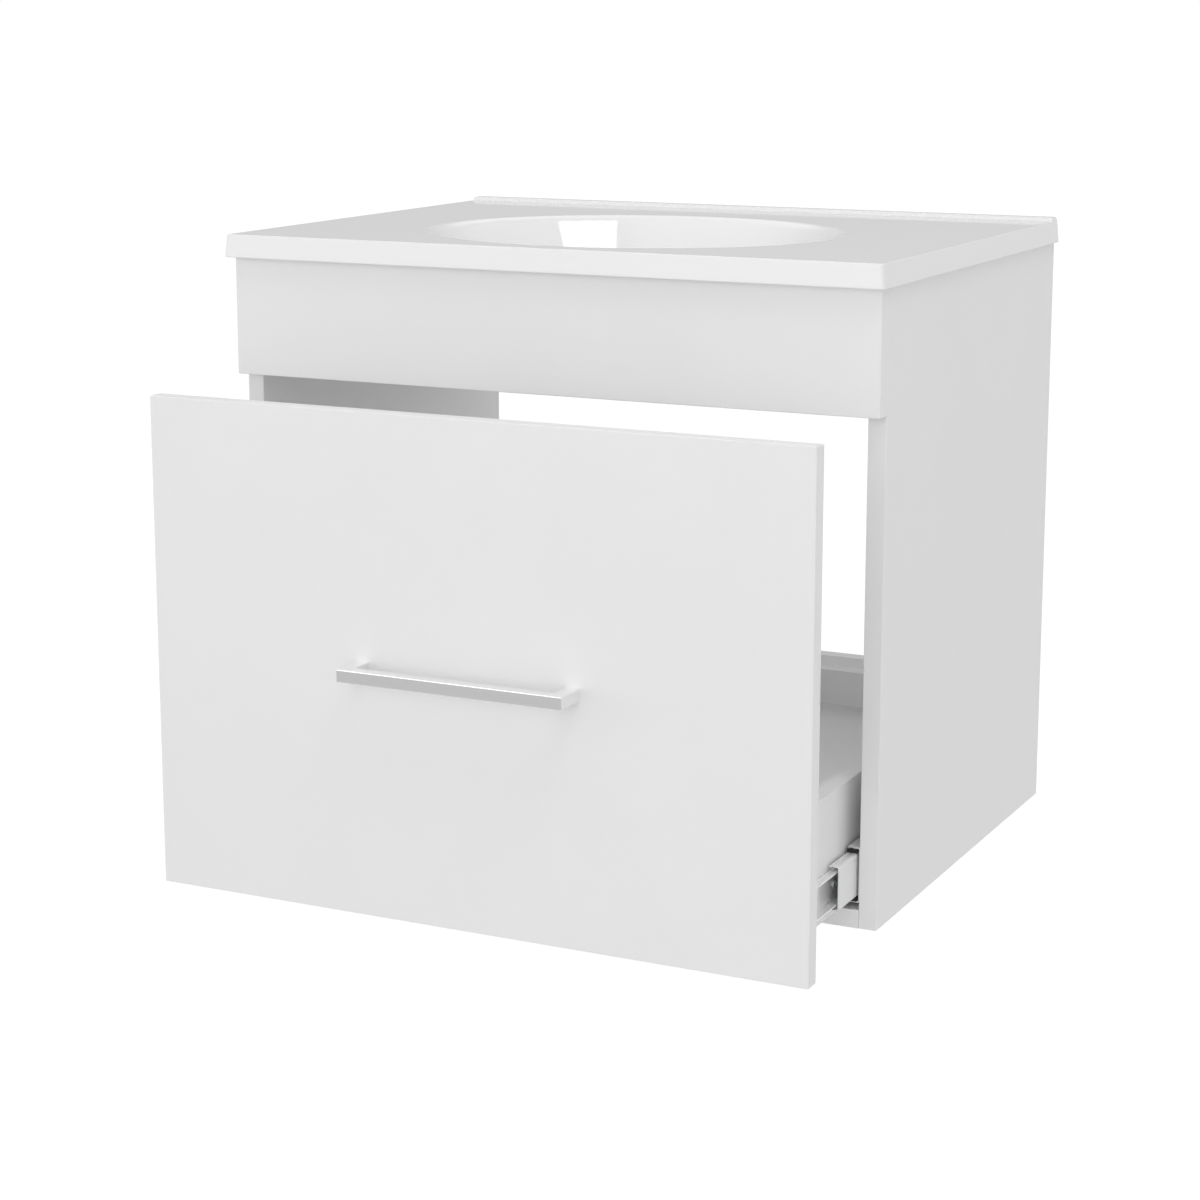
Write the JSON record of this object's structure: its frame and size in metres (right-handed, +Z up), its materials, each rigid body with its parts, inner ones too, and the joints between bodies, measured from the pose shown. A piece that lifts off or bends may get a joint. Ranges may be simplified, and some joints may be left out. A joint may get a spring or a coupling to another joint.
{
  "type": "vanity unit with sink",
  "caption": "Wall-hung white vanity unit: an oval moulded basin top on a board cabinet with one deep drawer that runs on telescopic ball slides and opens by a square bar handle.",
  "frame": {"origin": "on the wall plane, midway between the two upper wall screw holes", "axes": "+Z up, +Y into the wall, +X to the right of someone who faces the unit"},
  "size_m": [0.58, 0.5906, 0.5273],
  "materials": {
    "white_board": "white melamine-faced board, satin",
    "cast_resin": "white cast mineral resin, gloss",
    "chromed_brass": "polished chrome",
    "black_rubber": "matt",
    "zinc_diecast": "bright zinc, as cast",
    "zinc_steel": "zinc plated",
    "slide_steel": "bright zinc plated, rolled",
    "cage_steel": "zinc plated, thin sheet",
    "ball_steel": "polished",
    "beech_dowel": "bare beech",
    "handle_metal": "satin",
    "black_plastic": "moulded, matt"
  },
  "bodies": {
    "cabinet": {"left_side_panel": "white_board", "right_side_panel": "white_board", "front_fascia": "white_board", "front_bottom_rail": "white_board", "rear_bottom_rail": "white_board", "rear_top_rail": "white_board", "carcass_cams": "zinc_diecast", "carcass_cam_bolts": "zinc_steel", "carcass_dowels": "beech_dowel", "basin_top": "cast_resin", "drain_flange": "chromed_brass", "drain_gasket": "black_rubber", "drain_washer": "black_rubber", "drain_lock_nut": "chromed_brass", "left_slide_cabinet_member": "slide_steel", "right_slide_cabinet_member": "slide_steel", "left_slide_front_guides": "black_plastic", "right_slide_front_guides": "black_plastic", "left_slide_rear_bumper": "black_rubber", "right_slide_rear_bumper": "black_rubber", "slide_cabinet_screws": "zinc_steel"},
    "drawer": {"drawer_front": "white_board", "drawer_left_side": "white_board", "drawer_right_side": "white_board", "drawer_back": "white_board", "drawer_bottom": "white_board", "drawer_cams": "zinc_diecast", "drawer_cam_bolts": "zinc_steel", "drawer_dowels": "beech_dowel", "drawer_screws": "zinc_steel", "bar_handle": "handle_metal", "handle_screws": "zinc_steel", "left_slide_drawer_member": "slide_steel", "right_slide_drawer_member": "slide_steel", "slide_drawer_screws": "zinc_steel"},
    "left_middle": {"left_slide_middle_member": "slide_steel"},
    "left_outer_cage": {"left_outer_ball_cage": "cage_steel", "left_outer_balls": "ball_steel"},
    "left_inner_cage": {"left_inner_ball_cage": "cage_steel", "left_inner_balls": "ball_steel"},
    "right_middle": {"right_slide_middle_member": "slide_steel"},
    "right_outer_cage": {"right_outer_ball_cage": "cage_steel", "right_outer_balls": "ball_steel"},
    "right_inner_cage": {"right_inner_ball_cage": "cage_steel", "right_inner_balls": "ball_steel"}
  },
  "joints": [
    {"name": "drawer_slide", "type": "slide", "parent": "cabinet", "child": "drawer", "axis": [0, -1, 0], "range_m": [-0.126, 0.274]},
    {"name": "left_middle_slide", "type": "slide", "parent": "cabinet", "child": "left_middle", "axis": [0, -1, 0], "range_m": [-0.063, 0.137]},
    {"name": "left_outer_cage_slide", "type": "slide", "parent": "cabinet", "child": "left_outer_cage", "axis": [0, -1, 0], "range_m": [-0.0315, 0.0685]},
    {"name": "left_inner_cage_slide", "type": "slide", "parent": "cabinet", "child": "left_inner_cage", "axis": [0, -1, 0], "range_m": [-0.0945, 0.2055]},
    {"name": "right_middle_slide", "type": "slide", "parent": "cabinet", "child": "right_middle", "axis": [0, -1, 0], "range_m": [-0.063, 0.137]},
    {"name": "right_outer_cage_slide", "type": "slide", "parent": "cabinet", "child": "right_outer_cage", "axis": [0, -1, 0], "range_m": [-0.0315, 0.0685]},
    {"name": "right_inner_cage_slide", "type": "slide", "parent": "cabinet", "child": "right_inner_cage", "axis": [0, -1, 0], "range_m": [-0.0945, 0.2055]}
  ],
  "couplings": [
    {"joint": "left_middle_slide", "follows": "drawer_slide", "ratio": 0.5},
    {"joint": "left_outer_cage_slide", "follows": "drawer_slide", "ratio": 0.25},
    {"joint": "left_inner_cage_slide", "follows": "drawer_slide", "ratio": 0.75},
    {"joint": "right_middle_slide", "follows": "drawer_slide", "ratio": 0.5},
    {"joint": "right_outer_cage_slide", "follows": "drawer_slide", "ratio": 0.25},
    {"joint": "right_inner_cage_slide", "follows": "drawer_slide", "ratio": 0.75}
  ]
}
